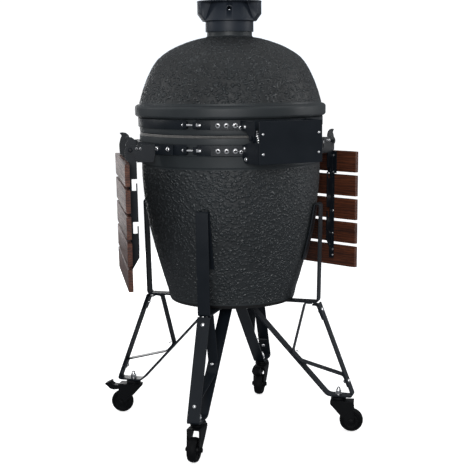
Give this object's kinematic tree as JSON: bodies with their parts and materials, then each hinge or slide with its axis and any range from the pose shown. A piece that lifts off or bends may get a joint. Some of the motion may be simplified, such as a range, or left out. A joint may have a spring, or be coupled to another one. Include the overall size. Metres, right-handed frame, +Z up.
{
  "type": "kamado ceramic grill",
  "caption": "Egg-shaped ceramic charcoal grill with a hinged dome lid and vent cap, carried in a wheeled steel cradle with folding slatted side tables.",
  "frame": {"origin": "on the floor, under the centre of the ceramic bowl", "axes": "+Z up; +Y to the rear, where the lid's hinge is; -Y to the cook; +X to the cook's right"},
  "size_m": [0.7652, 0.7, 1.2662],
  "materials": {
    "glazed_ceramic": "charcoal grey crackle glaze, smooth at the rims",
    "firebox_clay": "unglazed fired clay",
    "gasket_felt": "woven heat-proof felt",
    "grate_iron": "seasoned cast iron",
    "vent_paint": "satin black heat-proof paint on cast metal",
    "powder_coat": "black powder coat, fine texture",
    "pedal_plastic": "black moulded plastic",
    "bright_steel": "bright steel",
    "wheel_rubber": "black rubber tread on a plastic core",
    "stained_wood": "dark red-brown stained hardwood, oiled"
  },
  "bodies": {
    "base": {"bowl": "glazed_ceramic", "bowl_gasket": "gasket_felt", "firebox": "firebox_clay", "charcoal_grate": "grate_iron", "cooking_grate": "grate_iron", "lower_band": "powder_coat", "clamp_bolt_lower": "bright_steel", "hinge_lower_bracket": "powder_coat", "hinge_pin": "bright_steel", "hinge_cover": "powder_coat", "hinge_spring_left": "bright_steel", "hinge_spring_right": "bright_steel", "draft_frame": "bright_steel", "cradle_strap_a": "powder_coat", "cradle_strap_b": "powder_coat", "table_bracket_right": "powder_coat", "table_bracket_left": "powder_coat", "leg_rear_right": "powder_coat", "brace_rear_right": "powder_coat", "leg_rear_left": "powder_coat", "brace_rear_left": "powder_coat", "leg_front_left": "powder_coat", "brace_front_left": "powder_coat", "leg_front_right": "powder_coat", "brace_front_right": "powder_coat"},
    "lid": {"lid": "glazed_ceramic", "lid_gasket": "gasket_felt", "upper_band": "powder_coat", "clamp_bolt_upper": "bright_steel", "hinge_upper_bracket": "powder_coat", "handle_bracket": "powder_coat", "handle_grip": "stained_wood", "thermometer": "bright_steel", "vent_collar": "vent_paint"},
    "vent_cap": {"vent_crown": "vent_paint"},
    "draft_door": {"draft_door": "bright_steel"},
    "right_table": {"plank_right_1": "stained_wood", "plank_right_2": "stained_wood", "plank_right_3": "stained_wood", "plank_right_4": "stained_wood", "plank_right_5": "stained_wood", "table_arm_right_rear": "powder_coat", "table_arm_right_front": "powder_coat"},
    "left_table": {"plank_left_1": "stained_wood", "plank_left_2": "stained_wood", "plank_left_3": "stained_wood", "plank_left_4": "stained_wood", "plank_left_5": "stained_wood", "table_arm_left_rear": "powder_coat", "table_arm_left_front": "powder_coat"},
    "swivel_rear_right": {"caster_fork_rear_right": "powder_coat"},
    "wheel_rear_right": {"wheel_rear_right": "wheel_rubber"},
    "swivel_rear_left": {"caster_fork_rear_left": "powder_coat"},
    "wheel_rear_left": {"wheel_rear_left": "wheel_rubber"},
    "swivel_front_left": {"caster_fork_front_left": "powder_coat"},
    "wheel_front_left": {"wheel_front_left": "wheel_rubber"},
    "pedal_front_left": {"brake_pedal_front_left": "pedal_plastic"},
    "swivel_front_right": {"caster_fork_front_right": "powder_coat"},
    "wheel_front_right": {"wheel_front_right": "wheel_rubber"},
    "pedal_front_right": {"brake_pedal_front_right": "pedal_plastic"}
  },
  "joints": [
    {"name": "lid_open", "type": "hinge", "parent": "base", "child": "lid", "pos_m": [0, 0.318, 0.8877], "axis": [-1, 0, 0], "range_deg": [0, 72], "deforming": ["hinge_spring_left", "hinge_spring_right"]},
    {"name": "vent_turn", "type": "hinge", "parent": "lid", "child": "vent_cap", "pos_m": [0, 0, 1.2376], "axis": [0, 0, 1], "range_deg": [0, 60]},
    {"name": "draft_slide", "type": "hinge", "parent": "base", "child": "draft_door", "pos_m": [0, 0, 0.457], "axis": [0, 0, 1], "range_deg": [0, 28]},
    {"name": "right_table_fold", "type": "hinge", "parent": "base", "child": "right_table", "pos_m": [0.29276, -0.09569, 0.85], "axis": [-0.3107, -0.9505, 0], "range_deg": [0, 90.5]},
    {"name": "left_table_fold", "type": "hinge", "parent": "base", "child": "left_table", "pos_m": [-0.29276, -0.09569, 0.85], "axis": [-0.3107, 0.9505, 0], "range_deg": [0, 90.5]},
    {"name": "swivel_rear_right", "type": "hinge", "parent": "base", "child": "swivel_rear_right", "pos_m": [0.23228, 0.23228, 0.1], "axis": [0, 0, 1], "continuous": true},
    {"name": "roll_rear_right", "type": "hinge", "parent": "swivel_rear_right", "child": "wheel_rear_right", "pos_m": [0.25916, 0.25916, 0.035], "axis": [-0.7071, 0.7071, 0], "continuous": true},
    {"name": "swivel_rear_left", "type": "hinge", "parent": "base", "child": "swivel_rear_left", "pos_m": [-0.23228, 0.23228, 0.1], "axis": [0, 0, 1], "continuous": true},
    {"name": "roll_rear_left", "type": "hinge", "parent": "swivel_rear_left", "child": "wheel_rear_left", "pos_m": [-0.26223, 0.25568, 0.035], "axis": [-0.6157, -0.788, 0], "continuous": true},
    {"name": "swivel_front_left", "type": "hinge", "parent": "base", "child": "swivel_front_left", "pos_m": [-0.23228, -0.23228, 0.1], "axis": [0, 0, 1], "continuous": true},
    {"name": "roll_front_left", "type": "hinge", "parent": "swivel_front_left", "child": "wheel_front_left", "pos_m": [-0.20637, -0.20449, 0.035], "axis": [-0.7314, 0.682, 0], "continuous": true},
    {"name": "brake_front_left", "type": "hinge", "parent": "swivel_front_left", "child": "pedal_front_left", "pos_m": [-0.20978, -0.20815, 0.083], "axis": [-0.7314, 0.682, 0], "range_deg": [0, 12]},
    {"name": "swivel_front_right", "type": "hinge", "parent": "base", "child": "swivel_front_right", "pos_m": [0.23228, -0.23228, 0.1], "axis": [0, 0, 1], "continuous": true},
    {"name": "roll_front_right", "type": "hinge", "parent": "swivel_front_right", "child": "wheel_front_right", "pos_m": [0.26139, -0.25671, 0.035], "axis": [0.6428, 0.766, 0], "continuous": true},
    {"name": "brake_front_right", "type": "hinge", "parent": "swivel_front_right", "child": "pedal_front_right", "pos_m": [0.25756, -0.2535, 0.083], "axis": [0.6428, 0.766, 0], "range_deg": [0, 12]}
  ]
}
